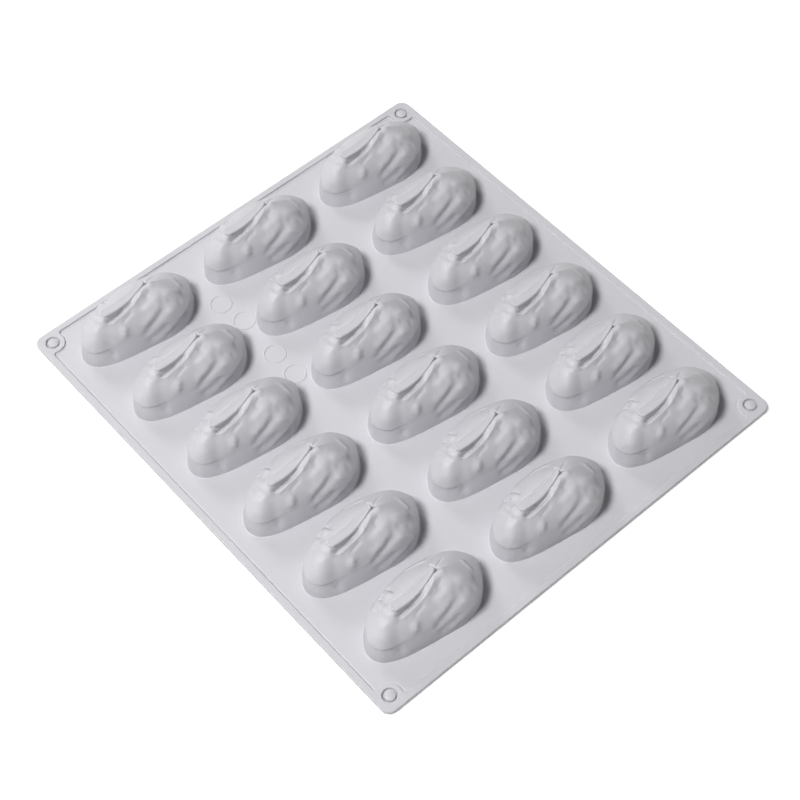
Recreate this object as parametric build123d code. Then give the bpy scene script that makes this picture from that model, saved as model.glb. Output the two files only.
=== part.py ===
"""Silicone baking mould with eighteen pistachio-shaped cavities, lying open face down.

The mould is one flexible moulding. Its zones are modelled as separate solids that meet face to
face: the rim band, four corner pads with ring grooves, the deck sheet, eighteen thin hollow nuts
and the flat foot blade that each nut stands on when the mould is turned over and filled.

Frame: millimetres, +X along the long side (six nuts), +Y from the noses of the nuts to their
tails (three nuts), +Z up. The origin is the middle of the footprint, on the open face.
A nut's own frame starts at its seam point, on top of the deck sheet.
"""

import os
from math import cos, pi, radians, sin

from build123d import *

# Sheet and rim
CORNER_RADIUS = 8.0
DECK_THICKNESS = 2.0
RIM_HEIGHT = 3.2
RIM_WIDTH = 4.2

# Corner pads
PAD_RADIUS = 8.6
RING_EDGE_DISTANCE = 8.8
RING_OUTER_DIAMETER = 9.4
RING_INNER_DIAMETER = 7.4
RING_DEPTH = 1.0

# Grid of nuts: the gaps between them and the margins from them to the tray's edges
COLUMNS = 6
ROWS = 3
COLUMN_GAP = 9.3
ROW_GAP = 8.5
LEFT_MARGIN = 8.4
RIGHT_MARGIN = 15.5
FRONT_MARGIN = 14.6
BACK_MARGIN = 11.9

# Foot of a nut, where its skirt meets the deck
NUT_LENGTH = 85.5
NUT_WIDTH = 43.6
NUT_MIDDLE = (2.8, -12.2)
NOSE_DRIFT = 5.6
NOSE_SHARPNESS = 3
TAIL_FULLNESS = 0.06

# Heights above the deck, and the wall
SKIRT_HEIGHT = 10.8
SKIRT_DRAFT = 0.5
LEDGE_HEIGHT = 0.5
LEDGE_INSET = 0.8
CROWN_HEIGHT = 27.4
WALL = 2.0

# Crown, the flattish top that the foot blade stands on
CROWN_LENGTH = 41.0
CROWN_WIDTH = 13.0
CROWN_MIDDLE = (4.8, -16.5)

# Flank bulge: 1 is a straight slope, less is fuller
MEAN_BULGE = 0.85
RIGHT_FLANK_BULGE = 0.17

# Foot blade
BLADE_TOP = 30.0
BLADE_WIDTH = 6.2
BLADE_LENGTH = 34.5
BLADE_BOW = 3.0
BLADE_NEAR_END = (3.6, -35.6)
BLADE_STATIONS = 4
BLADE_END_FACETS = 4

# Creases: V cuts in the flanks and beside the blade
CREASE_HALF_WIDTH = 1.7
CREASE_REACH = 6.0
BLADE_CREASE_DEPTH = 2.6
BLADE_CREASE_OFFSET = 0.9
# start turn, start level, end turn, end level of each flank crease (turn 0 is the tail)
FLANK_CREASES = (
    (50.0, 0.86, 118.0, 0.20),
    (62.0, 0.55, 112.0, 0.04),
    (98.0, 0.84, 148.0, 0.30),
    (18.0, 0.72, 66.0, 0.22),
)

NUT_FACETS = 20
OUTLINE_SAMPLES = 360
DOME_LEVELS = (0.0, 0.36, 0.72, 1.0)
CAVITY_LEVELS = (0.0, 0.5, 1.0)

# Tray, which follows from the grid
COLUMN_PITCH = NUT_WIDTH + COLUMN_GAP
ROW_PITCH = NUT_LENGTH + ROW_GAP
TRAY_LENGTH = LEFT_MARGIN + (COLUMNS - 1) * COLUMN_PITCH + NUT_WIDTH + RIGHT_MARGIN
TRAY_WIDTH = FRONT_MARGIN + (ROWS - 1) * ROW_PITCH + NUT_LENGTH + BACK_MARGIN


def foot_point(turn: float) -> tuple[float, float]:
    """Return the point of the nut's foot outline at a turn from the tail."""
    along, across = cos(turn), sin(turn)
    drift = NOSE_DRIFT * max(0.0, -along) ** NOSE_SHARPNESS
    half_width = NUT_WIDTH / 2 * (1 + TAIL_FULLNESS * along)
    return NUT_MIDDLE[0] + drift + half_width * across, NUT_MIDDLE[1] + NUT_LENGTH / 2 * along


def crown_point(turn: float) -> tuple[float, float]:
    """Return the point of the crown's outline at a turn from the tail."""
    return (
        CROWN_MIDDLE[0] + CROWN_WIDTH / 2 * sin(turn),
        CROWN_MIDDLE[1] + CROWN_LENGTH / 2 * cos(turn),
    )


def blend(turn: float, level: float) -> float:
    """Return how much of the foot outline is left at a level of the dome, 1 at its foot."""
    bulge = MEAN_BULGE - RIGHT_FLANK_BULGE * sin(turn)
    return (1 - level) ** bulge


def support(outline, facing: float) -> float:
    """Return how far an outline reaches in the direction that a facet faces."""
    turns = (2 * pi * k / OUTLINE_SAMPLES for k in range(OUTLINE_SAMPLES))
    return max(x * sin(facing) + y * cos(facing) for x, y in map(outline, turns))


FACINGS = [2 * pi * k / NUT_FACETS for k in range(NUT_FACETS)]
FOOT_REACH = [support(foot_point, facing) for facing in FACINGS]
CROWN_REACH = [support(crown_point, facing) for facing in FACINGS]


def ring(height: float, inset: float, level: float = 0.0) -> list[Vector]:
    """Return the corners of one level of a nut, where neighbouring facet planes cross.

    Every facet keeps its facing from level to level, so the strips between rings are flat.
    """
    reach = []
    for facing, foot, crown in zip(FACINGS, FOOT_REACH, CROWN_REACH):
        reach.append(crown + (foot - crown) * blend(facing, level) - inset)
    step = 2 * pi / NUT_FACETS
    corners = []
    for k in range(NUT_FACETS):
        here, after = reach[k], reach[(k + 1) % NUT_FACETS]
        a, b = FACINGS[k], FACINGS[k] + step
        x = (here * cos(b) - after * cos(a)) / sin(a - b)
        y = (after * sin(a) - here * sin(b)) / sin(a - b)
        corners.append(Vector(x, y, height))
    return corners


def stack(rings: list[list[Vector]]) -> Solid:
    """Return the closed solid with flat facets between each ring and the next."""
    faces = [Face(Wire.make_polygon(rings[0])), Face(Wire.make_polygon(rings[-1]))]
    for lower, upper in zip(rings, rings[1:]):
        for k in range(len(lower)):
            n = (k + 1) % len(lower)
            faces.append(Face(Wire.make_polygon([lower[k], lower[n], upper[n], upper[k]])))
    return Solid(Shell(faces))


def nut_body() -> Solid:
    """Return a nut's outside as one closed body: drafted skirt, ledge line and dome."""
    dome_foot = SKIRT_HEIGHT + LEDGE_HEIGHT
    rings = [ring(0.0, 0.0), ring(SKIRT_HEIGHT, SKIRT_DRAFT)]
    for level in DOME_LEVELS:
        height = dome_foot + (CROWN_HEIGHT - dome_foot) * level
        rings.append(ring(height, (SKIRT_DRAFT + LEDGE_INSET) * (1 - level), level))
    return stack(rings)


def cavity_body() -> Solid:
    """Return the hollow inside a nut, one wall in from its outside."""
    rings = [ring(0.0, WALL), ring(SKIRT_HEIGHT, SKIRT_DRAFT + WALL)]
    for level in CAVITY_LEVELS[1:]:
        height = SKIRT_HEIGHT + (CROWN_HEIGHT - WALL - SKIRT_HEIGHT) * level
        rings.append(ring(height, SKIRT_DRAFT * (1 - level) + WALL, level))
    return stack(rings)


def dome_point(turn_degrees: float, level: float) -> Vector:
    """Return a point of the dome at a turn from the tail and a level up the dome."""
    turn = radians(turn_degrees)
    keep = blend(turn, level)
    foot, crown = foot_point(turn), crown_point(turn)
    x, y = (c + (f - c) * keep for f, c in zip(foot, crown))
    return Vector(x, y, SKIRT_HEIGHT + (CROWN_HEIGHT - SKIRT_HEIGHT) * level)


def crease(root: list[Vector], outward: Vector, across: Vector) -> Solid:
    """Return the V-shaped cutter whose sharp edge follows a root line."""
    wide = outward * CREASE_REACH
    sides = across * CREASE_HALF_WIDTH
    sections = [Wire.make_polygon([p, p + wide + sides, p + wide - sides]) for p in root]
    return Solid.make_loft(sections, ruled=True)


def flank_crease(start_turn: float, start_level: float, end_turn: float, end_level: float) -> Solid:
    """Return the cutter of a crease whose root is a chord under the bulging flank."""
    start, end = dome_point(start_turn, start_level), dome_point(end_turn, end_level)
    middle_turn = radians((start_turn + end_turn) / 2)
    run = (end - start).normalized()
    outward = Vector(sin(middle_turn), cos(middle_turn), 1.0)
    outward = (outward - run * outward.dot(run)).normalized()
    return crease([start, end], outward, run.cross(outward))


def blade_centre(share: float) -> tuple[float, float]:
    """Return the foot blade's centre line at a share of its length from the nose end."""
    x, y = BLADE_NEAR_END
    return x + BLADE_BOW * (sin(pi * share) * 0.6 - 1.3 * share**2), y + BLADE_LENGTH * share


def blade_side(side: int) -> list[tuple[float, float]]:
    """Return one long side of the foot blade, from the nose end to the seam point."""
    half = BLADE_WIDTH / 2
    points = []
    for k in range(1, BLADE_STATIONS + 1):
        x, y = blade_centre(k / (BLADE_STATIONS + 1))
        points.append((x + side * half, y))
    return points


def foot_blade() -> Solid:
    """Return the flat-topped blade that the nut stands on, rounded at the nose end."""
    half = BLADE_WIDTH / 2
    near_x, near_y = BLADE_NEAR_END
    seam_x, seam_y = blade_centre(1.0)
    near_end = []
    for k in range(BLADE_END_FACETS + 1):
        turn = pi * k / BLADE_END_FACETS
        near_end.append((near_x - half * cos(turn), near_y + half * (1 - sin(turn))))
    outline = near_end + blade_side(1)
    outline += [(seam_x + half * 0.5, seam_y), (seam_x - half * 0.5, seam_y)]
    outline += reversed(blade_side(-1))
    face = Face(Wire.make_polygon([Vector(x, y, CROWN_HEIGHT) for x, y in outline]))
    return Solid.extrude(face, Vector(0, 0, BLADE_TOP - CROWN_HEIGHT))


def blade_crease() -> Solid:
    """Return the cutter of the deep crease along the blade's right side."""
    shift = BLADE_WIDTH / 2 + BLADE_CREASE_OFFSET
    depths = (0.0, 1.0, 0.9, 0.7, 0.3, 0.0)
    root = []
    for k, depth in enumerate(depths):
        x, y = blade_centre(k / len(depths))
        root.append(Vector(x + shift, y, CROWN_HEIGHT - BLADE_CREASE_DEPTH * depth))
    return crease(root, Vector(0, 0, 1), Vector(1, 0, 0))


def nut_shell() -> Solid:
    """Return one hollow nut with its creases, standing on the deck."""
    body = nut_body()
    for values in FLANK_CREASES:
        body = body - flank_crease(*values)
    body = body - blade_crease()
    return body - cavity_body()


def nut_places():
    """Yield row, column and seam point of every nut, first row at the front."""
    first_x = LEFT_MARGIN + NUT_WIDTH / 2 - NUT_MIDDLE[0] - TRAY_LENGTH / 2
    first_y = FRONT_MARGIN + NUT_LENGTH / 2 - NUT_MIDDLE[1] - TRAY_WIDTH / 2
    for row in range(ROWS):
        for column in range(COLUMNS):
            x, y = first_x + column * COLUMN_PITCH, first_y + row * ROW_PITCH
            yield row + 1, column + 1, Location((x, y, DECK_THICKNESS))


def slab(length: float, width: float, radius: float, height: float) -> Part:
    """Return a slab with rounded corners, standing on the open face."""
    return extrude(RectangleRounded(length, width, radius), height)


def corner_places():
    """Return the ring centre of each corner pad."""
    x = TRAY_LENGTH / 2 - RING_EDGE_DISTANCE
    y = TRAY_WIDTH / 2 - RING_EDGE_DISTANCE
    return [(side * x, depth * y) for depth in (-1, 1) for side in (-1, 1)]


def inner_slab(height: float) -> Part:
    """Return the slab that the rim band goes round."""
    inner = 2 * RIM_WIDTH
    radius = CORNER_RADIUS - RIM_WIDTH
    return slab(TRAY_LENGTH - inner, TRAY_WIDTH - inner, radius, height)


def rim_band() -> Part:
    """Return the raised flat band round the edge."""
    outside = slab(TRAY_LENGTH, TRAY_WIDTH, CORNER_RADIUS, RIM_HEIGHT)
    return outside - inner_slab(RIM_HEIGHT)


def corner_blank(x: float, y: float, height: float) -> Part:
    """Return what a corner pad covers inside the rim band."""
    return inner_slab(height) & Pos(x, y) * extrude(Circle(PAD_RADIUS), height)


def corner_pad(x: float, y: float) -> Part:
    """Return a corner pad with its closed ring groove."""
    ring_face = Circle(RING_OUTER_DIAMETER / 2) - Circle(RING_INNER_DIAMETER / 2)
    groove = Pos(x, y, RIM_HEIGHT - RING_DEPTH) * extrude(ring_face, RING_DEPTH)
    return corner_blank(x, y, RIM_HEIGHT) - groove


def deck_sheet() -> Part:
    """Return the sheet between the rim and the nuts, with one mouth for each cavity."""
    sheet = inner_slab(DECK_THICKNESS)
    for x, y in corner_places():
        sheet -= corner_blank(x, y, DECK_THICKNESS)
    mouth_face = Face(Wire.make_polygon(ring(-DECK_THICKNESS, WALL)))
    mouth = Solid.extrude(mouth_face, Vector(0, 0, DECK_THICKNESS))
    return sheet - [place * mouth for _, _, place in nut_places()]


def main():
    """Build every zone and write it to its own file."""
    pads = [corner_pad(x, y).solid() for x, y in corner_places()]
    nodes = {"rim_band": rim_band(), "corner_pads": Compound(pads), "deck_sheet": deck_sheet()}
    shell, blade = nut_shell(), foot_blade()
    for row, column, place in nut_places():
        nodes[f"nut_shell_{row}_{column}"] = place * shell
        nodes[f"foot_blade_{row}_{column}"] = place * blade
    os.makedirs("parts", exist_ok=True)
    for name, solid in nodes.items():
        export_step(solid, f"parts/{name}.step")
        print(name, round(solid.volume, 1))
    print("tray", round(TRAY_LENGTH, 1), "by", round(TRAY_WIDTH, 1))


main()
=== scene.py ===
"""The looks of a silicone baking mould with eighteen pistachio-shaped cavities.

The mould lies open face down on a pale studio floor. One tray piece stands for the rim band, the
corner pads and the deck sheet, and each packed nut shell and foot blade gets its own detailed piece
in the same place. Shapes are worked out in millimetres and made in metres.
"""

from __future__ import annotations

import logging
from dataclasses import dataclass, field
from enum import Enum
from math import atan2, cos, degrees, pi, radians, sin

import bmesh
import bpy
import numpy as np
from mathutils import Matrix, Vector
from mathutils.geometry import delaunay_2d_cdt

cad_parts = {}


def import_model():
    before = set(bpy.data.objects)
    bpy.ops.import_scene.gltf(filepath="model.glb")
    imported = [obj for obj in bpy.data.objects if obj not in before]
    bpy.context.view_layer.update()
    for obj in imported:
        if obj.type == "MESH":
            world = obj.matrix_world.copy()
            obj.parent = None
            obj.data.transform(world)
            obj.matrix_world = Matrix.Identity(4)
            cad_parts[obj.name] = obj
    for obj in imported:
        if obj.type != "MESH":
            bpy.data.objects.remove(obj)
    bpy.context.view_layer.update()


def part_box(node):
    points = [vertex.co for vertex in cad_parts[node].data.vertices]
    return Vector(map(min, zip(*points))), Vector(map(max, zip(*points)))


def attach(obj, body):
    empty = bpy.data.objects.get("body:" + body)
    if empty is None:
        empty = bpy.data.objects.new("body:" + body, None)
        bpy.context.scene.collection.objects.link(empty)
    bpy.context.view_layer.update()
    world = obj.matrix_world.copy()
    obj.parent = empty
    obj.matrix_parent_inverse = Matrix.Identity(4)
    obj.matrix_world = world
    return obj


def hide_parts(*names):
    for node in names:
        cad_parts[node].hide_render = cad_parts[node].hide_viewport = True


LOG = logging.getLogger("mould")
MM = 0.001
BODY = "root"
WHITE = (1.0, 1.0, 1.0, 1.0)

# Sockets of Blender's Mix node that carry a colour
MIX_FIRST, MIX_SECOND, MIX_RESULT = 6, 7, 2

# Nearest that two outline points may lie before they count as one, in millimetres, and the
# least squared length that a run of a relief's path counts with, which keeps 0 from a division
OUTLINE_MERGE = 1e-6
SHORTEST_RUN = 1e-9

Point2 = tuple[float, float]
Point3 = tuple[float, float, float]


# Shader helpers


class Field:
    """A shader value that can be used in Python expressions."""

    def __init__(self, tree: bpy.types.NodeTree, socket: bpy.types.NodeSocket) -> None:
        """Wrap an output socket of a node tree.

        Args:
            tree: The node tree that the socket belongs to.
            socket: The output socket that carries the value.
        """
        self.tree = tree
        self.socket = socket

    def _math(self, operation: str, first: Field | float, second: Field | float) -> Field:
        """Add one Math node.

        Args:
            operation: The Math node's operation.
            first: The first value.
            second: The second value.

        Returns:
            The node's result.
        """
        node = self.tree.nodes.new("ShaderNodeMath")
        node.operation = operation
        for slot, value in zip(node.inputs, (first, second)):
            if isinstance(value, Field):
                self.tree.links.new(value.socket, slot)
            else:
                slot.default_value = value
        return Field(self.tree, node.outputs[0])

    def __add__(self, other: Field | float) -> Field:
        """Return the sum."""
        return self._math("ADD", self, other)

    def __sub__(self, other: Field | float) -> Field:
        """Return the difference."""
        return self._math("SUBTRACT", self, other)

    def __rsub__(self, other: float) -> Field:
        """Return a number less this value."""
        return self._math("SUBTRACT", other, self)

    def __mul__(self, other: Field | float) -> Field:
        """Return the product."""
        return self._math("MULTIPLY", self, other)

    __radd__ = __add__
    __rmul__ = __mul__


class Shader:
    """The node tree of a material or a world, built from typed calls."""

    def __init__(self, owner: bpy.types.Material | bpy.types.World) -> None:
        """Start with an empty node tree.

        Args:
            owner: The material or world.
        """
        owner.use_nodes = True
        self.owner = owner
        self.tree = owner.node_tree
        self.tree.nodes.clear()

    @classmethod
    def material(cls, name: str) -> Shader:
        """Start a new material."""
        return cls(bpy.data.materials.new(name))

    @classmethod
    def world(cls, name: str) -> Shader:
        """Start a new world and use it in the scene."""
        bpy.context.scene.world = bpy.data.worlds.new(name)
        return cls(bpy.context.scene.world)

    def node(
        self,
        kind: str,
        settings: dict[str, object] | None = None,
        inputs: dict[str | int, object] | None = None,
    ) -> bpy.types.Node:
        """Add a node.

        Args:
            kind: The node's Blender type.
            settings: Attributes that are set before any socket.
            inputs: Values, fields or sockets of the node's inputs, by name or number.

        Returns:
            The new node.
        """
        node = self.tree.nodes.new(kind)
        for key, value in (settings or {}).items():
            setattr(node, key, value)
        for key, value in (inputs or {}).items():
            if isinstance(value, Field):
                self.tree.links.new(value.socket, node.inputs[key])
            elif isinstance(value, bpy.types.NodeSocket):
                self.tree.links.new(value, node.inputs[key])
            else:
                node.inputs[key].default_value = value
        return node

    def field(self, socket: bpy.types.NodeSocket) -> Field:
        """Return a socket as a value for expressions."""
        return Field(self.tree, socket)

    def position(self) -> bpy.types.NodeSocket:
        """Return the place of the shaded point, in metres."""
        return self.node("ShaderNodeNewGeometry").outputs["Position"]

    def noise(self, position: bpy.types.NodeSocket, scale: float, detail: float = 2.0) -> Field:
        """Add smooth noise over a position.

        Args:
            position: The position that the noise is sampled at, in metres.
            scale: Waves per metre.
            detail: Octaves of finer waves.

        Returns:
            The noise, about 0.5.
        """
        inputs = {"Vector": position, "Scale": scale, "Detail": detail}
        return self.field(self.node("ShaderNodeTexNoise", inputs=inputs).outputs["Fac"])

    def backdrop_rays(self) -> Field:
        """Tell which rays show the backdrop: those of the camera, of gloss and of glass.

        Returns:
            1 for such a ray and 0 for the light that falls on things.
        """
        flags = self.node("ShaderNodeLightPath").outputs
        straight, gloss = self.field(flags["Is Camera Ray"]), self.field(flags["Is Glossy Ray"])
        return straight + gloss + self.field(flags["Is Transmission Ray"])

    def finish(self, surface: bpy.types.Node) -> bpy.types.Material | bpy.types.World:
        """Connect the surface to the output.

        Args:
            surface: The node that ends in the shader.

        Returns:
            The finished material or world.
        """
        is_world = isinstance(self.owner, bpy.types.World)
        kind = "ShaderNodeOutputWorld" if is_world else "ShaderNodeOutputMaterial"
        self.node(kind, inputs={"Surface": surface.outputs[0]})
        return self.owner


# Finishes


@dataclass(frozen=True)
class SiliconeFinish:
    """A moulded silicone surface: cloudy colour, satin gloss and a fine grain.

    Scales are in waves per metre and heights in millimetres. The octaves are the cloud's and the
    grain's.
    """

    name: str
    colour: Point3
    roughness: float
    colour_swing: float = 0.1
    cloud_scale: float = 38.0
    cloud_strength: float = 0.035
    dust_scale: float = 600.0
    dust_strength: float = 0.028
    grain_scale: float = 1500.0
    grain_height: float = 0.05
    ripple_scale: float = 300.0
    ripple_height: float = 0.13
    bump_strength: float = 0.55
    cloud_gloss: float = 0.12
    grain_gloss: float = 0.1
    octaves: float = 3.0
    refraction: float = 1.41
    specular: float = 0.5

    def tone(self, factor: float) -> tuple[float, ...]:
        """Return the colour made lighter or darker, with full opacity."""
        return (*(min(1.0, part * factor) for part in self.colour), 1.0)

    def build(self) -> bpy.types.Material:
        """Make the material.

        Returns:
            The material.
        """
        shader = Shader.material(self.name)
        position = shader.position()
        cloud = shader.noise(position, self.cloud_scale, self.octaves)
        dust = shader.noise(position, self.dust_scale)
        grain = shader.noise(position, self.grain_scale, self.octaves)
        ripple = shader.noise(position, self.ripple_scale)
        shade = (cloud - 0.5) * self.cloud_strength + (dust - 0.5) * self.dust_strength + 0.5
        dark, light = self.tone(1 - self.colour_swing), self.tone(1 + self.colour_swing)
        mixed = shader.node(
            "ShaderNodeMix",
            {"data_type": "RGBA"},
            {"Factor": shade, MIX_FIRST: dark, MIX_SECOND: light},
        )
        height = grain * self.grain_height + ripple * self.ripple_height
        bump = shader.node(
            "ShaderNodeBump",
            inputs={"Strength": self.bump_strength, "Distance": MM, "Height": height},
        )
        cloudy, grainy = (cloud - 0.5) * self.cloud_gloss, (grain - 0.5) * self.grain_gloss
        surface = shader.node(
            "ShaderNodeBsdfPrincipled",
            inputs={
                "Base Color": mixed.outputs[MIX_RESULT],
                "Roughness": cloudy + grainy + self.roughness,
                "Normal": bump.outputs["Normal"],
                "IOR": self.refraction,
                "Specular IOR Level": self.specular,
            },
        )
        return shader.finish(surface)


class Finish(Enum):
    """The record's material slots."""

    SATIN = "silicone"
    MATT = "silicone_matte"


FINISHES = {
    Finish.SATIN: SiliconeFinish("silicone_satin", (0.583, 0.576, 0.606), 0.46),
    Finish.MATT: SiliconeFinish(
        "silicone_matt",
        (0.583, 0.577, 0.601),
        0.62,
        dust_scale=440.0,
        grain_scale=1100.0,
        grain_height=0.07,
    ),
}


# Mesh helpers


class MeshMaker:
    """Collects points and faces in millimetres and makes an object in metres."""

    def __init__(self) -> None:
        """Start with no points."""
        self.points: list[np.ndarray] = []
        self.faces: list[tuple[int, ...]] = []
        self.count = 0

    def add(self, points: np.ndarray) -> int:
        """Add points.

        Args:
            points: An array of shape (n, 3).

        Returns:
            The index of the first added point.
        """
        start = self.count
        self.points.append(np.asarray(points, float).reshape(-1, 3))
        self.count += len(self.points[-1])
        return start

    def strips(self, rings: list[np.ndarray]) -> None:
        """Join closed rings of equal length with quads, each ring to the next.

        Args:
            rings: Arrays of shape (n, 3), counter-clockwise seen from outside the strip's top.
        """
        size = len(rings[0])
        start = self.add(np.vstack(rings))
        for level in range(len(rings) - 1):
            low, high = start + level * size, start + (level + 1) * size
            for here in range(size):
                there = (here + 1) % size
                self.faces.append((low + here, low + there, high + there, high + here))

    def plate(self, outer: np.ndarray, holes: list[np.ndarray], up: bool) -> None:
        """Fill the flat region between a level ring and the holes in it.

        Args:
            outer: The ring, shape (n, 3).
            holes: The holes' rings.
            up: True if the plate faces up.
        """
        points, edges = [], []
        for ring in (outer, *holes):
            start, size = len(points), len(ring)
            points += [Vector((float(x), float(y))) for x, y, _ in ring]
            edges += [(start + here, start + (here + 1) % size) for here in range(size)]
        flat, _, triangles, *_ = delaunay_2d_cdt(points, edges, [], 0, OUTLINE_MERGE)
        base = self.add(np.array([(spot.x, spot.y, outer[0, 2]) for spot in flat]))
        for face in triangles:
            first, second, third = (np.array(flat[corner]) for corner in face[:3])
            middle = (first + second + third) / 3
            if not inside(middle, outer) or any(inside(middle, hole) for hole in holes):
                continue
            side, next_side = second - first, third - first
            turned = side[0] * next_side[1] - side[1] * next_side[0] > 0
            order = face if turned == up else tuple(reversed(face))
            self.faces.append(tuple(base + corner for corner in order))

    def build(self, name: str, sharp_angle: float, merge: float = 1e-4) -> bpy.types.Object:
        """Make the object.

        Args:
            name: The object's name.
            sharp_angle: Edges that turn more than this, in degrees, stay sharp.
            merge: Points nearer than this, in millimetres, become one.

        Returns:
            The object, linked to the scene.
        """
        mesh = bpy.data.meshes.new(name)
        mesh.from_pydata((np.vstack(self.points) * MM).tolist(), [], self.faces)
        work = bmesh.new()
        work.from_mesh(mesh)
        bmesh.ops.remove_doubles(work, verts=work.verts, dist=merge * MM)
        bmesh.ops.dissolve_degenerate(work, edges=work.edges, dist=merge * MM)
        work.to_mesh(mesh)
        work.free()
        mesh.polygons.foreach_set("use_smooth", [True] * len(mesh.polygons))
        mesh.set_sharp_from_angle(angle=radians(sharp_angle))
        piece = bpy.data.objects.new(name, mesh)
        bpy.context.scene.collection.objects.link(piece)
        return piece


def inside(point: np.ndarray, loop: np.ndarray) -> bool:
    """Tell if a point is inside a closed outline, seen from above.

    Args:
        point: The point.
        loop: The outline, shape (n, 2) or (n, 3).

    Returns:
        True if it is inside.
    """
    x, y = point
    x0, y0 = loop[:, 0], loop[:, 1]
    x1, y1 = np.roll(x0, -1), np.roll(y0, -1)
    crosses = (y0 > y) != (y1 > y)
    with np.errstate(divide="ignore", invalid="ignore"):
        at = x0 + (y - y0) * (x1 - x0) / (y1 - y0)
    return bool(np.count_nonzero(crosses & (x < at)) % 2)


def offset_loop(loop: np.ndarray, distance: float | np.ndarray) -> np.ndarray:
    """Move a counter-clockwise outline outwards.

    Args:
        loop: The outline, shape (n, 2).
        distance: How far it moves, or how far each of its points does; negative is inwards.

    Returns:
        The moved outline.
    """
    along = np.roll(loop, -1, axis=0) - np.roll(loop, 1, axis=0)
    along /= np.linalg.norm(along, axis=1, keepdims=True)
    outwards = np.stack([along[:, 1], -along[:, 0]], axis=1)
    return loop + outwards * np.broadcast_to(distance, len(loop))[:, None]


def lift(loop: np.ndarray, z: float) -> np.ndarray:
    """Return a flat outline as points at one height."""
    return np.column_stack([loop, np.full(len(loop), z)])


def rings_round(loop: np.ndarray, profile: list[Point2]) -> list[np.ndarray]:
    """Return a ring for each offset from an outline and height in a profile."""
    return [lift(offset_loop(loop, offset), z) for offset, z in profile]


def arc(centre: Point2, radius: float, start: float, end: float, steps: int) -> np.ndarray:
    """Return the points of a circular arc.

    Args:
        centre: The arc's centre.
        radius: Its radius.
        start: The angle of its first point, in degrees.
        end: The angle of its last point.
        steps: How many steps it is divided into.

    Returns:
        Points of shape (steps + 1, 2).
    """
    angle = np.radians(np.linspace(start, end, steps + 1))
    return np.column_stack([centre[0] + radius * np.cos(angle), centre[1] + radius * np.sin(angle)])


def circle(centre: Point2, radius: float, steps: int) -> np.ndarray:
    """Return the points of a full circle, counter-clockwise."""
    return arc(centre, radius, 0.0, 360.0, steps)[:-1]


def quarter(radius: float, steps: int) -> list[Point2]:
    """Return a rounding's profile, from level to upright.

    Args:
        radius: The rounding's radius.
        steps: How many steps it is divided into.

    Returns:
        Pairs whose first number grows from 0 to the radius while the second falls to 0.
    """
    angles = np.linspace(0.0, pi / 2, steps + 1)
    return [(radius * (1 - cos(angle)), radius * (1 - sin(angle))) for angle in angles]


def smooth_step(value: float | np.ndarray) -> np.ndarray:
    """Return an S-shaped rise from 0 to 1 as the value goes from 0 to 1."""
    share = np.clip(value, 0.0, 1.0)
    return share * share * (3 - 2 * share)


def curve_through(points: tuple[Point3, ...], steps: int) -> np.ndarray:
    """Return a smooth curve through points, by Catmull-Rom pieces.

    Args:
        points: The points that it passes.
        steps: Steps between two points.

    Returns:
        Points along the curve, shape (n, 3).
    """
    knots = np.array(points, float)
    knots = np.vstack([2 * knots[0] - knots[1], knots, 2 * knots[-1] - knots[-2]])
    share = np.linspace(0, 1, steps, endpoint=False)[:, None]
    out = []
    for before, start, end, after in zip(knots[:-3], knots[1:-2], knots[2:-1], knots[3:]):
        square = 2 * before - 5 * start + 4 * end - after
        cube = 3 * start - before - 3 * end + after
        out.append((2 * start + (end - before) * share + square * share**2 + cube * share**3) / 2)
    return np.vstack([*out, knots[-2:-1]])


def nearest_on(line: np.ndarray, points: np.ndarray) -> tuple[np.ndarray, np.ndarray]:
    """Return how far points lie from a line of straight runs, and where it is nearest.

    Args:
        line: The line's corners, shape (m, 3).
        points: The points, shape (n, 3).

    Returns:
        The squared distances, and the places along the line from 0 to 1.
    """
    gaps, where = np.full(len(points), np.inf), np.zeros(len(points))
    for number, (start, end) in enumerate(zip(line[:-1], line[1:])):
        run = end - start
        share = np.clip((points - start) @ run / max(run @ run, SHORTEST_RUN), 0, 1)
        gap = ((points - start - share[:, None] * run) ** 2).sum(1)
        closer = gap < gaps
        gaps[closer] = gap[closer]
        where[closer] = (number + share[closer]) / (len(line) - 1)
    return gaps, where


# Nut


@dataclass(frozen=True)
class Relief:
    """A furrow or swelling of the nut's skin along a path.

    The path's points are in the nut's own frame: right of, beyond and above its seam point on the
    deck, in millimetres. A positive rise swells the skin and a negative one cuts in. It fades over
    that share of the path at each end, or ends round where the fade is 0.
    """

    half_width: float
    rise: float
    fade: float
    path: tuple[Point3, ...]
    path_steps: int = 6
    smoothing: int = 4
    # how many half widths from the path the relief still counts
    reach: float = 2.6

    def line_on(self, skin: np.ndarray) -> np.ndarray:
        """Lay the path on the skin.

        Args:
            skin: The smooth skin's points, shape (n, 3).

        Returns:
            Points of the skin along the path, evened out.
        """
        spots = curve_through(self.path, self.path_steps)
        line = skin[[np.argmin(((skin - spot) ** 2).sum(1)) for spot in spots]]
        for _ in range(self.smoothing):
            line[1:-1] = (line[:-2] + 2 * line[1:-1] + line[2:]) / 4
        return line

    def add_to(self, swell: np.ndarray, skin: np.ndarray) -> None:
        """Add this relief to the skin's swelling.

        Args:
            swell: How far each point of the skin swells, shape (n,).
            skin: The smooth skin's points, shape (n, 3).
        """
        line, reach = self.line_on(skin), self.reach * self.half_width
        near = np.all((skin > line.min(0) - reach) & (skin < line.max(0) + reach), axis=1)
        gaps, where = nearest_on(line, skin[near])
        ends = 1.0
        if self.fade:
            ends = smooth_step(where / self.fade) * smooth_step((1 - where) / self.fade)
        swell[near] += self.rise * ends * np.exp(-gaps / self.half_width**2)


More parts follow.
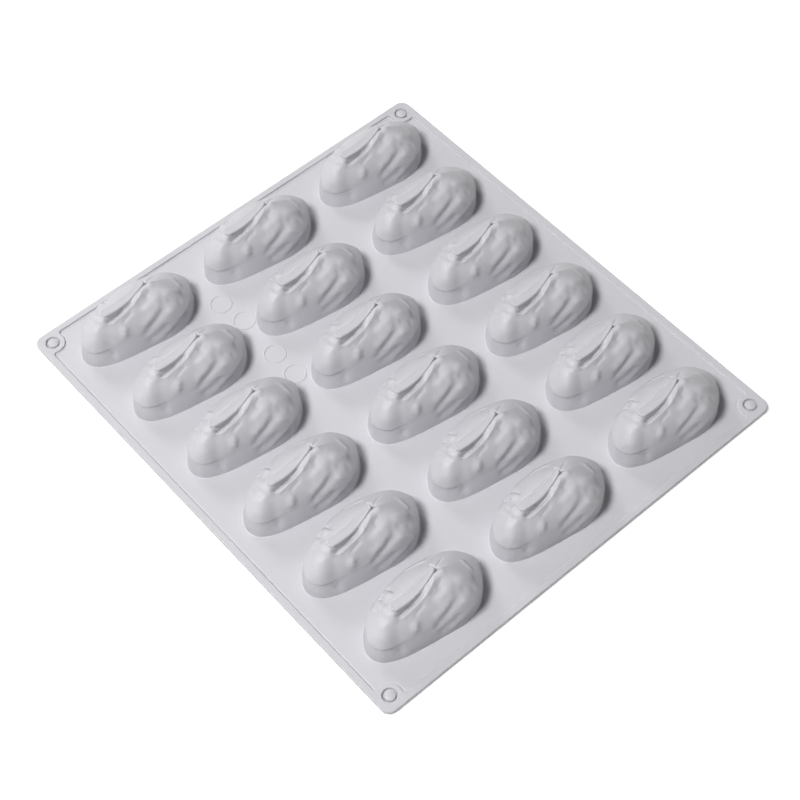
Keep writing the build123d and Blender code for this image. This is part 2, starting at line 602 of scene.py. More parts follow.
@dataclass
class NutShape:
    """The skin of one hollow nut, in its own frame: the seam point at 0, 0 on the deck."""

    # foot outline, counter-clockwise from the tail
    foot_points: tuple[Point2, ...] = (
        (5.5, 27.3), (-3.0, 25.0), (-10.2, 18.5), (-14.6, 8.0), (-17.0, -4.0), (-17.0, -16.0),
        (-14.8, -28.5), (-11.4, -40.0), (-5.2, -48.6), (4.5, -53.9), (13.2, -51.4), (18.4, -42.7),
        (21.6, -30.7), (24.3, -15.0), (26.1, -1.0), (23.6, 11.6), (16.0, 21.2),
    )  # fmt: skip
    foot_steps: int = 20
    middle: Point2 = (3.6, -12.2)
    half_length: float = 41.0
    half_width: float = 21.5
    around: int = 340
    foot_fillet: float = 0.5
    fillet_steps: int = 6
    flange: float = 0.3
    skirt_height: float = 9.8
    skirt_curve: float = 1.4
    skirt_rings: int = 12
    # bearing in degrees, counter-clockwise from the right, and how far the skirt leans in there
    drafts: tuple[Point2, ...] = (
        (-150.0, 1.2), (-90.0, 1.6), (-45.0, 2.2), (0.0, 1.6), (30.0, -0.2), (50.0, 0.2),
        (75.0, 1.2), (95.0, 1.4), (130.0, 0.8), (180.0, 0.8),
    )  # fmt: skip
    draft_smoothing: int = 60
    # how far each ring of the groove lies inside the skirt, and how high above it
    groove: tuple[Point2, ...] = (
        (0.0, 0.25), (0.08, 0.5), (0.2, 0.75), (0.26, 1.05), (0.2, 1.35), (0.1, 1.65), (0.02, 2.1)
    )  # fmt: skip
    # where the right flank loses the groove, and over how much: looking right, and to the tail
    plain_right: Point2 = (0.58, 0.25)
    plain_tail: Point2 = (0.5, 0.3)
    plain_lean: float = 0.3
    relief_start: float = 3.5
    spine_front: float = -33.0
    spine_back: float = 2.0
    spine_x: float = 4.0
    core_height: float = 6.0
    top_height: float = 28.8
    # the dome's fullness to the right, left, tail and nose
    dome_powers: tuple[float, ...] = (2.4, 1.6, 1.15, 1.3)
    dome_eases: tuple[float, ...] = (0.78, 0.9, 0.95, 0.82)
    dome_rings: int = 84
    wall: float = 1.8
    inner_relief: float = 0.85
    reliefs: tuple[Relief, ...] = ()

    def foot(self, inset: float | np.ndarray = 0.0, count: int = 0) -> np.ndarray:
        """Return the foot outline, counter-clockwise from the tail.

        Args:
            inset: How far the outline, or each of its points, is moved inwards.
            count: How many points it has, or 0 for as many as the skin has around.

        Returns:
            Points of shape (count, 2), evenly spaced.
        """
        knots = tuple((x, y, 0.0) for x, y in self.foot_points)
        spare = 2 * self.foot_steps
        dense = curve_through((*knots[-2:], *knots, *knots[:3]), self.foot_steps)[spare:-spare, :2]
        run = np.concatenate([[0.0], np.cumsum(np.linalg.norm(np.diff(dense, axis=0), axis=1))])
        at = np.linspace(0, run[-1], (count or self.around) + 1)[:-1]
        loop = np.column_stack([np.interp(at, run, dense[:, 0]), np.interp(at, run, dense[:, 1])])
        return offset_loop(loop, -np.asarray(inset))

    def bearing(self) -> tuple[np.ndarray, np.ndarray]:
        """Return where each point around looks.

        Returns:
            How far it looks to the tail, and how far to the right, from -1 to 1.
        """
        way = (self.foot() - self.middle) / (self.half_width, self.half_length)
        way /= np.linalg.norm(way, axis=1, keepdims=True)
        return way[:, 1], way[:, 0]

    def draft(self, bearing: np.ndarray) -> np.ndarray:
        """Return how far the skirt leans in at each point around.

        Args:
            bearing: Where the points look, in degrees counter-clockwise from the right.

        Returns:
            The lean at the skirt's top, smoothed around the nut.
        """
        angles, leans = np.array(self.drafts).T
        draft = np.interp(bearing, angles, leans, period=360.0)
        for _ in range(self.draft_smoothing):
            draft = (np.roll(draft, 1) + 2 * draft + np.roll(draft, -1)) / 4
        return draft

    def foot_rings(self) -> list[np.ndarray]:
        """Make the flange's edge and the fillet from the deck to the skirt.

        Returns:
            The rings from outside in.
        """
        rings = [lift(self.foot(-self.foot_fillet - self.flange), 0.0)]
        for rise, outset in quarter(self.foot_fillet, self.fillet_steps):
            rings.append(lift(self.foot(-outset), rise))
        return rings

    def skirt(self) -> list[np.ndarray]:
        """Make the leaning skirt and the groove above it.

        Returns:
            The rings from the fillet up to the dome's foot.
        """
        along, across = self.bearing()
        draft = self.draft(np.degrees(np.arctan2(along, across)))
        right, tail = self.plain_right, self.plain_tail
        plain = smooth_step((across - right[0]) / right[1]) * smooth_step((tail[0] - along) / tail[1])
        rings = []
        for share in np.linspace(0.0, 1.0, self.skirt_rings + 1)[1:]:
            z = self.foot_fillet + (self.skirt_height - self.foot_fillet) * share
            rings.append(lift(self.foot(draft * share**self.skirt_curve), z))
        for inset, rise in self.groove:
            inwards = draft + inset * (1 - plain) + rise * self.plain_lean * plain
            rings.append(lift(self.foot(inwards), self.skirt_height + rise))
        return rings

    def dome(self, foot: np.ndarray) -> list[np.ndarray]:
        """Make the dome, whose rings shrink to the spine.

        Args:
            foot: The ring that it stands on.

        Returns:
            The rings from above the foot to the spine.
        """
        along, across = self.bearing()
        sides = np.clip([across, -across, along, -along], 0, None) ** 2
        power, ease = np.array(self.dome_powers) @ sides, np.array(self.dome_eases) @ sides
        half = (self.spine_back - self.spine_front) / 2
        spine_y = self.spine_front + half * (1 + along)
        spine = np.column_stack([np.full(self.around, self.spine_x), spine_y])
        base = foot[0, 2]
        rings = []
        for step in range(1, self.dome_rings + 1):
            keep = 1 - step / self.dome_rings
            z = base + (self.top_height - base) * (1 - keep**power) ** ease
            rings.append(np.column_stack([spine + (foot[:, :2] - spine) * keep, z]))
        return rings

    def away(self, grid: np.ndarray) -> np.ndarray:
        """Return the directions that point away from the line inside the nut, along its spine.

        Args:
            grid: Points of the skin, shape (rings, around, 3).

        Returns:
            Unit vectors of the same shape.
        """
        y = np.clip(grid[..., 1], self.spine_front, self.spine_back)
        x, z = np.full_like(y, self.spine_x), np.full_like(y, self.core_height)
        direction = grid - np.stack([x, y, z], axis=-1)
        return direction / np.linalg.norm(direction, axis=-1, keepdims=True)

    def skins(self) -> tuple[np.ndarray, np.ndarray]:
        """Return the outer and the inner skin of the nut.

        Returns:
            Two grids of rings from the foot up.
        """
        foot, skirt = self.foot_rings(), self.skirt()
        rising = [*skirt, *self.dome(skirt[-1])]
        heights = np.array([ring[0, 2] for ring in rising])
        taking = np.concatenate([np.zeros(len(foot)), np.minimum(1.0, heights / self.relief_start)])
        grid = np.array([*foot, *rising])
        swell = np.zeros(grid.shape[0] * grid.shape[1])
        for relief in self.reliefs:
            relief.add_to(swell, grid.reshape(-1, 3))
        swell = (swell.reshape(grid.shape[:2]) * taking[:, None])[:, :, None]
        away = self.away(grid)
        inner = (grid + away * (self.inner_relief * swell - self.wall))[len(foot) :]
        return grid + away * swell, inner


# Relief of the nut's skin, measured from the seam point
RELIEFS: tuple[Relief, ...] = (
    # trench along the blade's right side, the lip beside it and the furrow beyond
    Relief(0.8, -1.7, 0.25, (
        (8.9, -35.5, 25.2), (8.7, -30.0, 26.8), (8.5, -23.1, 27.4), (7.9, -17.1, 27.8),
        (6.5, -11.7, 28.0),
    )),
    Relief(1.3, -1.6, 0.3, (
        (8.2, -37.0, 25.2), (8.1, -32.0, 26.4), (8.2, -26.0, 27.2), (8.1, -20.0, 27.6),
    )),
    Relief(2.6, 1.2, 0.0, ((8.0, -14.0, 27.0), (6.5, -6.0, 27.5), (5.0, 0.0, 27.5))),
    Relief(0.9, 0.4, 0.15, (
        (10.8, -34.6, 24.4), (11.2, -31.2, 25.0), (10.9, -26.4, 26.1), (10.4, -19.2, 26.9),
        (9.0, -12.3, 27.5), (6.4, -7.1, 28.0), (4.2, -3.4, 28.2),
    )),
    Relief(1.2, -0.5, 0.3, (
        (13.6, -28.6, 23.0), (13.2, -25.1, 24.4), (12.9, -21.4, 25.5), (12.9, -18.4, 25.9),
    )),
    Relief(1.5, -0.5, 0.3, ((10.5, -9.1, 27.8), (8.6, -4.8, 28.2), (7.1, -1.0, 28.2))),
    # furrow along the blade's left side
    Relief(1.0, -1.1, 0.15, (
        (1.0, -31.6, 26.0), (1.4, -28.5, 26.5), (1.6, -25.5, 27.0), (1.2, -18.8, 27.6),
        (0.1, -12.1, 27.8), (-1.9, -5.4, 27.6),
    )),
    # rise of the surface round the blade's near end
    Relief(2.6, 1.3, 0.0, ((0.5, -36.5, 24.5), (4.0, -37.5, 25.5), (6.5, -36.5, 26.0))),
    # broad shoulder ridge
    Relief(4.5, 0.8, 0.0, ((9.4, 3.0, 26.8), (11.9, 5.8, 24.7))),
    Relief(3.0, 0.9, 0.25, (
        (16.1, 0.0, 23.7), (17.5, -4.6, 22.9), (19.0, -9.4, 20.5), (19.4, -14.5, 18.3),
        (19.3, -19.4, 16.9),
    )),
    Relief(2.8, 0.7, 0.3, (
        (16.8, -14.5, 22.8), (15.4, -8.5, 25.3), (14.4, -2.8, 26.0), (13.1, 3.2, 25.7),
    )),
    Relief(2.2, -0.7, 0.3, (
        (17.4, 0.9, 23.6), (18.0, 5.0, 22.3), (19.1, 9.1, 19.8), (21.9, 11.0, 16.0),
    )),
    Relief(2.8, 0.65, 0.0, ((13.7, 4.9, 24.9), (13.7, 9.1, 23.1), (14.0, 12.4, 21.1))),
    Relief(2.6, 0.65, 0.0, ((22.0, 1.4, 18.6), (23.3, 5.0, 16.4), (24.6, 7.8, 13.4))),
    Relief(5.0, 0.9, 0.0, ((16.5, 8.0, 19.5), (20.0, 3.0, 18.0))),
    Relief(2.0, -0.35, 0.3, ((13.0, -18.0, 25.4), (12.2, -10.0, 26.4), (11.2, -3.0, 27.0))),
    # round lump near the nose
    Relief(2.6, 1.3, 0.0, ((16.3, -28.9, 19.6), (17.0, -29.8, 17.8))),
    # furrows and ridges that run down the right flank
    Relief(2.9, -0.9, 0.3, (
        (19.3, 0.8, 20.1), (20.0, -4.2, 19.7), (20.7, -8.8, 17.5), (20.9, -13.7, 14.9),
        (21.3, -17.2, 11.7), (21.7, -20.2, 8.9),
    )),
    Relief(2.4, 0.2, 0.3, (
        (21.3, 5.0, 15.7), (21.0, 0.9, 17.7), (21.9, -5.4, 16.0), (22.2, -8.9, 13.3),
        (22.0, -13.1, 11.5),
    )),
    Relief(2.8, -0.65, 0.25, (
        (23.3, -1.8, 12.3), (23.9, -5.1, 9.8), (23.7, -9.8, 8.0), (23.3, -15.1, 6.3),
        (23.6, -18.2, 2.8),
    )),
    Relief(2.2, 0.3, 0.3, (
        (22.2, 9.0, 10.6), (23.3, 4.3, 10.6), (24.6, -0.7, 8.0), (25.0, -7.6, 4.6),
        (24.5, -12.3, 2.8),
    )),
    Relief(2.2, -0.4, 0.3, (
        (23.8, 8.4, 6.3), (24.7, 3.9, 6.3), (25.3, -1.3, 5.4), (25.5, -5.3, 3.7),
        (25.6, -9.5, 0.3),
    )),
    Relief(2.0, 0.4, 0.3, ((21.1, 13.3, 8.0), (23.6, 8.9, 6.3), (24.8, 5.1, 5.4))),
    # valley down the nose's right side, the fold across it and its bulb
    Relief(4.2, -0.6, 0.15, (
        (8.5, -36.8, 25.1), (11.4, -37.8, 23.0), (14.4, -39.3, 19.3), (16.9, -40.8, 14.6),
        (17.9, -40.9, 8.9), (19.1, -40.7, 2.0),
    )),
    Relief(2.2, -0.4, 0.0, ((18.6, -41.0, 7.0), (19.2, -40.8, 3.0))),
    Relief(1.3, -0.7, 0.25, (
        (-8.1, -39.3, 16.2), (-2.0, -39.6, 21.2), (3.4, -40.2, 23.9), (7.7, -40.2, 23.8),
    )),
    Relief(5.5, 1.8, 0.0, ((6.5, -43.5, 20.5), (9.0, -46.0, 18.5))),
    # lobes of the left side towards the nose, each behind a curved step
    Relief(1.0, -1.6, 0.3, (
        (-14.6, -25.5, 13.6), (-13.2, -24.1, 15.5), (-9.2, -24.4, 19.8), (-2.9, -26.6, 25.0),
    )),
    Relief(3.0, 1.2, 0.0, ((-10.5, -28.5, 17.0), (-6.0, -28.8, 21.4))),
    Relief(1.0, -1.4, 0.3, (
        (-10.9, -34.4, 15.4), (-10.3, -32.3, 16.7), (-8.2, -31.7, 19.1), (-5.6, -32.3, 21.4),
    )),
    Relief(2.6, 1.0, 0.0, ((-7.5, -35.0, 17.5), (-3.0, -35.5, 21.0))),
    # tail
    Relief(1.7, 0.45, 0.3, (
        (-1.3, 17.0, 19.2), (5.1, 17.0, 20.6), (8.9, 17.8, 19.3), (12.8, 17.3, 18.0),
    )),
    # pit and seam beyond the blade
    Relief(1.0, -2.9, 0.0, ((0.8, -1.8, 28.4), (0.0, 0.3, 28.0))),
    Relief(0.8, -0.8, 0.35, (
        (-0.6, 0.4, 27.4), (-1.6, 2.2, 26.2), (-3.5, 6.3, 22.7), (-5.1, 10.8, 20.0),
    )),
    Relief(0.9, -0.9, 0.3, (
        (-15.9, -12.4, 14.2), (-14.1, -8.3, 16.1), (-13.6, -4.0, 16.4), (-11.6, 0.6, 17.7),
        (-10.9, 5.9, 17.3),
    )),
    Relief(1.0, -0.7, 0.3, (
        (-10.3, 13.2, 13.9), (-11.6, 8.5, 14.4), (-11.3, 3.4, 16.5), (-8.8, -2.3, 20.6),
        (-8.2, -6.3, 21.7),
    )),
    Relief(0.8, -0.9, 0.0, ((-1.0, 0.3, 27.0), (-4.8, 0.1, 23.4))),
)  # fmt: skip


@dataclass
class Nut:
    """A hollow nut, whose mesh all eighteen places share."""

    shape: NutShape
    seat_lift: float = 0.02
    flange_sink: float = 0.4
    mouth_round: float = 0.5
    mouth_bevel: float = 0.15
    sharp_angle: float = 50.0

    def build(self, name: str, deck: float) -> bpy.types.Object:
        """Make the nut at the origin of its own frame.

        Args:
            name: The object's name.
            deck: The height of the deck's top, in millimetres.

        Returns:
            The object.
        """
        shape, wall, sunk = self.shape, self.shape.wall, deck - self.flange_sink
        outer, inner = shape.skins()
        outer, inner = outer + (0, 0, deck + self.seat_lift), inner + (0, 0, deck)
        flange = lift(shape.foot(-shape.foot_fillet - shape.flange), sunk)
        mouth = (
            (wall / 2, sunk),
            (wall / 2, 0.0),
            (wall - self.mouth_round, 0.0),
            (wall - self.mouth_bevel, self.mouth_bevel),
            (wall, self.mouth_round),
        )
        lip = [lift(shape.foot(inset), z) for inset, z in mouth]
        maker = MeshMaker()
        maker.strips([flange, *outer])
        maker.strips([*reversed(inner), lip[-1]])
        maker.strips([*reversed(lip)])
        maker.strips([lip[0], flange])
        return maker.build(name, self.sharp_angle)


@dataclass
class FootBlade:
    """The flat-topped blade on a nut's back."""

    top: float = 30.0
    bottom: float = 24.0
    width: float = 6.2
    length: float = 33.6
    near_end: Point2 = (3.6, -35.6)
    bow: float = 1.8
    drift: float = 3.9
    # places along the length: the near end's centre, the sides' last point, the far end's centre
    near_place: float = 0.09
    side_place: float = 0.93
    far_place: float = 0.95
    far_share: float = 0.8
    far_round: float = 0.9
    # bearings between which the far end is an arc, in degrees
    far_arc: Point2 = (20.0, 160.0)
    side_points: int = 30
    near_steps: int = 20
    far_steps: int = 12
    root_flare: float = 0.35
    side_height: float = 1.6
    edge_radius: float = 1.0
    edge_steps: int = 5
    dish_inset: float = 0.5
    dish_depth: float = 0.15
    dish_places: tuple[float, ...] = (0.3, 0.7, 1.0, 1.3)
    sharp_angle: float = 50.0

    def centre(self, share: np.ndarray) -> np.ndarray:
        """Return the centre line at shares of its length from the nose end."""
        x = self.near_end[0] + self.bow * np.sin(pi * share) - self.drift * share**2
        return np.column_stack([x, self.near_end[1] + self.length * share])

    def outline(self) -> np.ndarray:
        """Make the blade's outline.

        Returns:
            Points of shape (n, 2), counter-clockwise from the near end.
        """
        half = self.width / 2
        share = np.linspace(self.near_place, self.side_place, self.side_points)
        centre = self.centre(share)
        near = arc(tuple(centre[0]), half, 180, 360, self.near_steps)
        far_centre = tuple(self.centre(np.array([self.far_place]))[0])
        far_radius = half * self.far_share * self.far_round
        far = arc(far_centre, far_radius, *self.far_arc, self.far_steps)
        taper = half * (1 - (1 - self.far_share) * smooth_step(share[1:, None]))
        right = centre[1:] + taper * (1, 0)
        left = (centre[1:] - taper * (1, 0))[::-1]
        return np.vstack([near, right, far, left])

    def build(self, name: str, deck: float) -> bpy.types.Object:
        """Make the blade at the origin of its own frame.

        Args:
            name: The object's name.
            deck: The height of the deck's top, in millimetres.

        Returns:
            The object.
        """
        top = deck + self.top
        profile = [(self.root_flare, deck + self.bottom), (0.0, top - self.side_height)]
        for inset, drop in quarter(self.edge_radius, self.edge_steps):
            profile.append((-inset, top - drop))
        for share in self.dish_places:
            inset = self.edge_radius + self.dish_inset * share
            profile.append((-inset, top - self.dish_depth * smooth_step(share)))
        rings = rings_round(self.outline(), profile)
        maker = MeshMaker()
        maker.strips(rings)
        maker.plate(rings[-1], [], True)
        maker.plate(rings[0], [], False)
        return maker.build(name, self.sharp_angle)


# Tray


@dataclass
class Tray:
    """The deck sheet with its rim band and corner pads, one continuous surface."""

    length: float
    width: float
    rim_height: float
    deck: float
    corner_radius: float = 6.0
    corner_steps: int = 16
    rim_width: float = 4.2
    pad_radius: float = 7.4
    pad_steps: int = 24
    jog_radius: float = 2.0
    jog_steps: int = 6
    # the outer wall's lower edge, as offsets and heights
    lower_edge: tuple[Point2, ...] = ((-0.5, 0.0), (-0.15, 0.12), (0.0, 0.5))
    upper_edge: float = 0.6
    upper_edge_steps: int = 6
    step_edge: float = 0.35
    step_edge_steps: int = 4
    # level strip beside each rounding, which keeps the plates' shading flat
    collar: float = 0.25
    # a shallow furrow in the deck along the band's inner edge
    dip: float = 0.25
    dip_width: float = 1.1
    dip_places: tuple[float, ...] = (0.25, 0.5, 0.75, 1.0)
    ring_distance: float = 8.8
    ring_outer: float = 4.5
    ring_inner: float = 3.2
    ring_depth: float = 2.2
    ring_edge: float = 0.22
    # where a ring's edge breaks, as a share of it, and how far its groove narrows to its floor
    edge_break: float = 0.3
    groove_lean: Point2 = (0.05, 0.2)
    button_rise: float = 0.5
    button_places: tuple[float, ...] = (0.8, 0.6, 0.4, 0.2)
    ring_steps: int = 48
    # plain round marks moulded on the deck between the first two rows
    marks: tuple[Point2, ...] = ((-112.6, -46.0), (-93.0, -43.0), (-60.8, -44.8), (-41.1, -45.1))
    mark_radius: float = 7.3
    mark_width: float = 1.3
    mark_rise: float = 0.42
    mark_steps: int = 64
    sharp_angle: float = 35.0
    merge: float = 1e-3

    def outside(self) -> np.ndarray:
        """Make the tray's outline.

        Returns:
            Points of shape (n, 2), counter-clockwise from the back right corner.
        """
        radius, steps = self.corner_radius, self.corner_steps
        x, y = self.length / 2 - radius, self.width / 2 - radius
        corners = (((x, y), 0), ((-x, y), 90), ((-x, -y), 180), ((x, -y), 270))
        return np.vstack([arc(centre, radius, start, start + 90, steps) for centre, start in corners])

    def ring_centres(self) -> list[Point2]:
        """Return the centres of the corner rings, counter-clockwise from back right."""
        x, y = self.length / 2 - self.ring_distance, self.width / 2 - self.ring_distance
        return [(x, y), (-x, y), (-x, -y), (x, -y)]

    def inside_edge(self) -> np.ndarray:
        """Make the inner edge of the raised band, which bulges round each corner pad.

        Returns:
            Points of shape (n, 2), counter-clockwise from the back right corner.
        """
        jog, pad = self.jog_radius, self.pad_radius
        side = self.ring_distance - self.rim_width - jog
        fall = ((pad + jog) ** 2 - side**2) ** 0.5
        lean = degrees(atan2(fall, side))
        corner = np.vstack(
            [
                arc((side, -fall), jog, 0, 180 - lean, self.jog_steps),
                arc((0.0, 0.0), pad, -lean, lean - 270, self.pad_steps)[1:-1],
                arc((-fall, side), jog, lean - 90, 90, self.jog_steps),
            ]
        )
        parts = []
        for number, centre in enumerate(self.ring_centres()):
            turn = number * pi / 2
            spin = np.array([[cos(turn), sin(turn)], [-sin(turn), cos(turn)]])
            parts.append(np.array(centre) + corner @ spin)
        return np.vstack(parts)

    def wall_profile(self) -> list[Point2]:
        """Work out the rim's outer wall.

        Returns:
            Offsets from the outline, and heights, from the underside to the band's top.
        """
        profile = list(self.lower_edge)
        for inset, drop in quarter(self.upper_edge, self.upper_edge_steps):
            profile.append((-inset, self.rim_height - drop))
        profile.append((-self.upper_edge - self.collar, self.rim_height))
        return profile

    def step_profile(self) -> list[Point2]:
        """Work out the step from the band's top down to the deck, with the furrow at its foot.

        Returns:
            Offsets from the band's inner edge, and heights.
        """
        edge, low = self.step_edge, self.deck - self.dip
        rounding = quarter(edge, self.step_edge_steps)
        profile = [(edge + self.collar, self.rim_height)]
        profile += [(outset, self.rim_height - drop) for drop, outset in rounding]
        profile += [(-inset, low + rise) for inset, rise in rounding]
        for share in self.dip_places:
            profile.append((-edge - self.dip_width * share, low + self.dip * smooth_step(share)))
        profile.append((-edge - self.dip_width - self.collar, self.deck))
        return profile

    def ring_profile(self) -> list[Point2]:
        """Work out a corner ring: its groove, then the low button inside it.

        Returns:
            Radii, and heights above the band's top, from outside in.
        """
        edge, depth = self.ring_edge, self.ring_depth
        side = [
            (edge + self.collar, 0.0),
            (edge, 0.0),
            (edge * self.edge_break, -edge * self.edge_break),
            (0.0, -edge),
            (-self.groove_lean[0], edge - depth),
            (-self.groove_lean[1], -depth),
        ]
        profile = [(self.ring_outer + out, z) for out, z in side]
        profile += [(self.ring_inner - out, z) for out, z in reversed(side)]
        button = self.ring_inner - edge - self.collar
        for share in self.button_places:
            profile.append((button * share, self.button_rise * (1 - share**2)))
        return profile

    def add_ring(self, maker: MeshMaker, centre: Point2) -> np.ndarray:
        """Add one corner ring to the band's top.

        Args:
            maker: The tray's mesh.
            centre: The ring's centre.

        Returns:
            The ring of the hole that the band leaves for it.
        """
        rings = []
        for radius, z in self.ring_profile():
            rings.append(lift(circle(centre, radius, self.ring_steps), self.rim_height + z))
        maker.strips(rings)
        maker.plate(rings[-1], [], True)
        return rings[0]

    def add_mark(self, maker: MeshMaker, centre: Point2) -> None:
        """Add one low ring to the deck, a closed band that starts just inside the sheet.

        Args:
            maker: The tray's mesh.
            centre: The ring's centre.
        """
        outer, inner, slope = self.mark_radius, self.mark_radius - self.mark_width, self.mark_width / 4
        root, top = self.deck - self.mark_rise, self.deck + self.mark_rise
        profile = (
            (outer, root),
            (outer, self.deck),
            (outer - slope, top),
            (inner + slope, top),
            (inner, self.deck),
            (inner, root),
            (outer, root),
        )
        maker.strips([lift(circle(centre, radius, self.mark_steps), z) for radius, z in profile])

    def build(self, holes: list[np.ndarray]) -> bpy.types.Object:
        """Make the tray.

        Args:
            holes: The outlines of the cavity mouths, in the tray's frame.

        Returns:
            The object.
        """
        wall = rings_round(self.outside(), self.wall_profile())
        step = rings_round(self.inside_edge(), self.step_profile())
        upper, lower = ([lift(hole, z) for hole in holes] for z in (self.deck, 0.0))
        maker = MeshMaker()
        maker.strips(wall)
        maker.strips(step)
        rings = [self.add_ring(maker, centre) for centre in self.ring_centres()]
        maker.plate(wall[-1], [step[0], *rings], True)
        maker.plate(step[-1], upper, True)
        maker.plate(wall[0], lower, False)
        for mouth in zip(upper, lower):
            maker.strips(list(mouth))
        for centre in self.marks:
            self.add_mark(maker, centre)
        return maker.build("tray_sheet", self.sharp_angle, self.merge)


# Studio


@dataclass(frozen=True)
class Softbox:
    """A square lamp that faces the tray, placed by its bearing and its height in degrees.

    The bearing is counter-clockwise from +X, and the side is in metres.
    """

    name: str
    bearing: float
    height: float
    side: float
    watts: float

    def add(self, distance: float) -> None:
        """Make the lamp.

        Args:
            distance: How far it stands from the tray's middle, in metres.
        """
        data = bpy.data.lights.new(self.name, "AREA")
        data.size = self.side
        data.energy = self.watts
        lamp = bpy.data.objects.new(self.name, data)
        turn, rise = radians(self.bearing), radians(self.height)
        place = Vector((cos(rise) * cos(turn), cos(rise) * sin(turn), sin(rise)))
        lamp.location = place * distance
        lamp.rotation_euler = (-place).to_track_quat("-Z", "Y").to_euler()
        bpy.context.scene.collection.objects.link(lamp)


@dataclass
class Studio:
    """Camera, lamps, world and floor, all in the tray's frame."""

    # the camera's place was solved from the regular grid of nuts
    camera_place: Point3 = (0.4968, -0.4060, 0.9152)
    facing: Point3 = (-0.43532747, 0.3577543, -0.82613671)
    roll: float = -2.009
    focal_pixels: float = 1854.7
    frame_pixels: float = 800.0
    sensor: float = 36.0
    clip_start: float = 0.01
    world_strength: float = 0.06
    lamp_distance: float = 2.4
    lamps: tuple[Softbox, ...] = (
        Softbox("key_softbox", 268.0, 62.0, 0.7, 52.5),
        Softbox("left_softbox", 178.0, 34.0, 0.8, 15.0),
        Softbox("right_softbox", 325.0, 25.0, 0.8, 2.6),
    )
    floor_half: float = 3000.0
    floor_sharp_angle: float = 30.0
    floor_colour: tuple[float, ...] = (0.8, 0.8, 0.8, 1.0)
    floor_roughness: float = 0.88
    floor_specular: float = 0.1
    paper_scale: float = 60.0
    paper_gloss: float = 0.01
    # white added to the floor as a backdrop, and how it grows with the square of the distance
    floor_lift: float = 0.32
    floor_whitening: float = 0.9

    def add_camera(self) -> None:
        """Make the camera at the photograph's viewing angle."""
        data = bpy.data.cameras.new("camera")
        data.sensor_width = self.sensor
        data.lens = self.focal_pixels / self.frame_pixels * self.sensor
        data.clip_start = self.clip_start
        camera = bpy.data.objects.new("camera", data)
        turn = Vector(self.facing).to_track_quat("-Z", "Y").to_matrix().to_4x4()
        spin = Matrix.Rotation(radians(self.roll), 4, "Z")
        camera.matrix_world = Matrix.Translation(self.camera_place) @ turn @ spin
        bpy.context.scene.collection.objects.link(camera)
        bpy.context.scene.camera = camera

    def add_world(self) -> None:
        """Light everything evenly from around, with white where the backdrop shows."""
        shader = Shader.world("studio")
        even = shader.node(
            "ShaderNodeBackground", inputs={"Color": WHITE, "Strength": self.world_strength}
        )
        white = shader.node("ShaderNodeBackground", inputs={"Color": WHITE, "Strength": 1.0})
        inputs = {0: shader.backdrop_rays(), 1: even.outputs[0], 2: white.outputs[0]}
        shader.finish(shader.node("ShaderNodeMixShader", inputs=inputs))

    def floor_paper(self) -> bpy.types.Material:
        """Make the floor's material, which takes the mould's shadow and looks white.

        Returns:
            The material.
        """
        shader = Shader.material("floor_paper")
        position = shader.position()
        paper = shader.noise(position, self.paper_scale) * self.paper_gloss
        matt = shader.node(
            "ShaderNodeBsdfPrincipled",
            inputs={
                "Base Color": self.floor_colour,
                "Roughness": paper + self.floor_roughness,
                "Specular IOR Level": self.floor_specular,
            },
        )
        glow = shader.node("ShaderNodeEmission", inputs={"Color": WHITE, "Strength": 1.0})
        lit = shader.node("ShaderNodeAddShader", inputs={0: matt.outputs[0], 1: glow.outputs[0]})
        place = shader.node("ShaderNodeSeparateXYZ", inputs={"Vector": position})
        across, along = shader.field(place.outputs["X"]), shader.field(place.outputs["Y"])
        far = (across * across + along * along) * self.floor_whitening
        white = shader.backdrop_rays() * (far + self.floor_lift)
        inputs = {0: white, 1: matt.outputs[0], 2: lit.outputs[0]}
        return shader.finish(shader.node("ShaderNodeMixShader", inputs=inputs))

    def add_floor(self) -> None:
        """Add the pale floor that the mould lies on."""
        half = self.floor_half
        square = np.array([(-half, -half), (half, -half), (half, half), (-half, half)])
        maker = MeshMaker()
        maker.plate(lift(square, 0.0), [], True)
        floor = maker.build("floor", self.floor_sharp_angle)
        floor.data.materials.append(self.floor_paper())

    def build(self) -> None:
        """Set up the whole studio."""
        self.add_camera()
        self.add_world()
        for lamp in self.lamps:
            lamp.add(self.lamp_distance)
        self.add_floor()
        bpy.context.scene.view_settings.view_transform = "Standard"


# Assembly


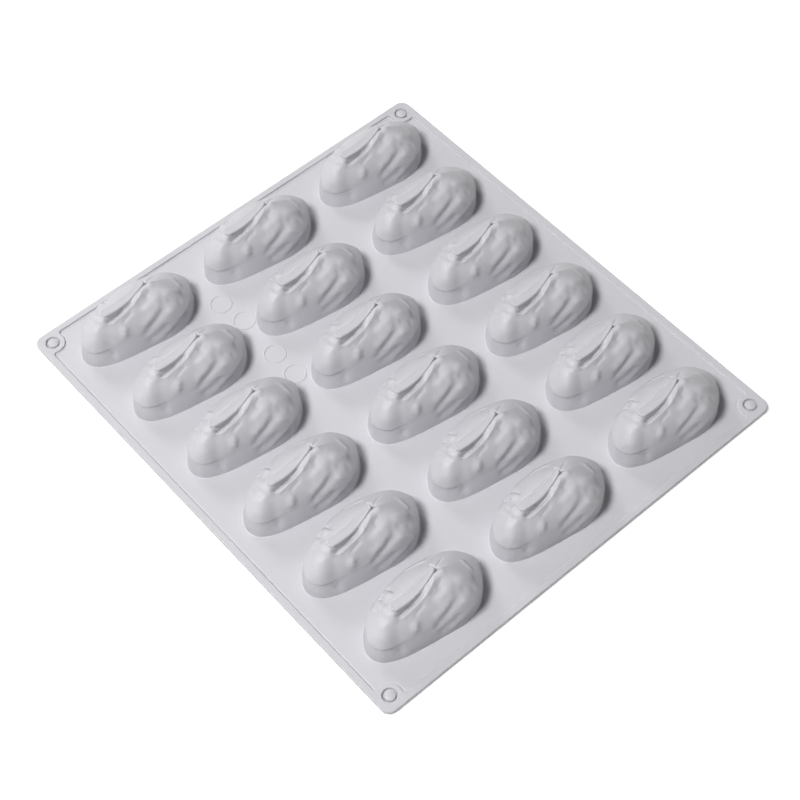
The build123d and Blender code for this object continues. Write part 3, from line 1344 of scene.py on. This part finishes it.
@dataclass
class Mould:
    """The whole mould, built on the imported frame."""

    rows: int = 3
    columns: int = 6
    # middle of a packed shell's box, from its nut's seam point
    shell_middle: Point2 = (2.8, -12.2)
    mouth_points: int = 96
    materials: dict[Finish, bpy.types.Material] = field(default_factory=dict)

    def dress(self, piece: bpy.types.Object, finish: Finish, *nodes: str) -> None:
        """Give a piece its finish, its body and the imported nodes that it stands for.

        Args:
            piece: The piece.
            finish: Its finish.
            nodes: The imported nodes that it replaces.
        """
        if not piece.data.materials:
            piece.data.materials.append(self.materials[finish])
        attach(piece, BODY)
        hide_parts(*nodes)
        LOG.info("%s replaces %s", piece.name, ", ".join(nodes))

    def places(self) -> dict[str, Vector]:
        """Find the seam point of each nut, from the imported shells' boxes.

        Returns:
            Points on the open face in millimetres, by row and column.
        """
        found = {}
        for row in range(1, self.rows + 1):
            for column in range(1, self.columns + 1):
                low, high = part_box(f"nut_shell_{row}_{column}")
                middle = (low + high) / 2 / MM
                x, y = middle.x - self.shell_middle[0], middle.y - self.shell_middle[1]
                found[f"{row}_{column}"] = Vector((x, y, 0.0))
        return found

    def build(self) -> None:
        """Make every piece."""
        self.materials = {finish: look.build() for finish, look in FINISHES.items()}
        low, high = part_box("rim_band")
        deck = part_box("deck_sheet")[1].z / MM
        tray = Tray((high.x - low.x) / MM, (high.y - low.y) / MM, high.z / MM, deck)
        shape = NutShape(reliefs=RELIEFS)
        places = self.places()
        mouth = shape.foot(shape.wall / 2, self.mouth_points)
        holes = [mouth + (place.x, place.y) for place in places.values()]
        self.dress(tray.build(holes), Finish.SATIN, "rim_band", "corner_pads", "deck_sheet")
        first_nut = Nut(shape).build("nut_1_1", deck)
        first_blade = FootBlade().build("blade_1_1", deck)
        for key, place in places.items():
            nut, blade = first_nut, first_blade
            if key != "1_1":
                nut, blade = first_nut.copy(), first_blade.copy()
                for piece in (nut, blade):
                    bpy.context.scene.collection.objects.link(piece)
            nut.name, blade.name = f"nut_{key}", f"blade_{key}"
            nut.matrix_world = blade.matrix_world = Matrix.Translation(place * MM)
            self.dress(nut, Finish.SATIN, f"nut_shell_{key}")
            self.dress(blade, Finish.MATT, f"foot_blade_{key}")


def main() -> None:
    """Build the mould and the studio round it."""
    logging.basicConfig(level=logging.INFO, format="%(name)s: %(message)s")
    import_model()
    Mould().build()
    Studio().build()


if __name__ == "__main__":
    main()
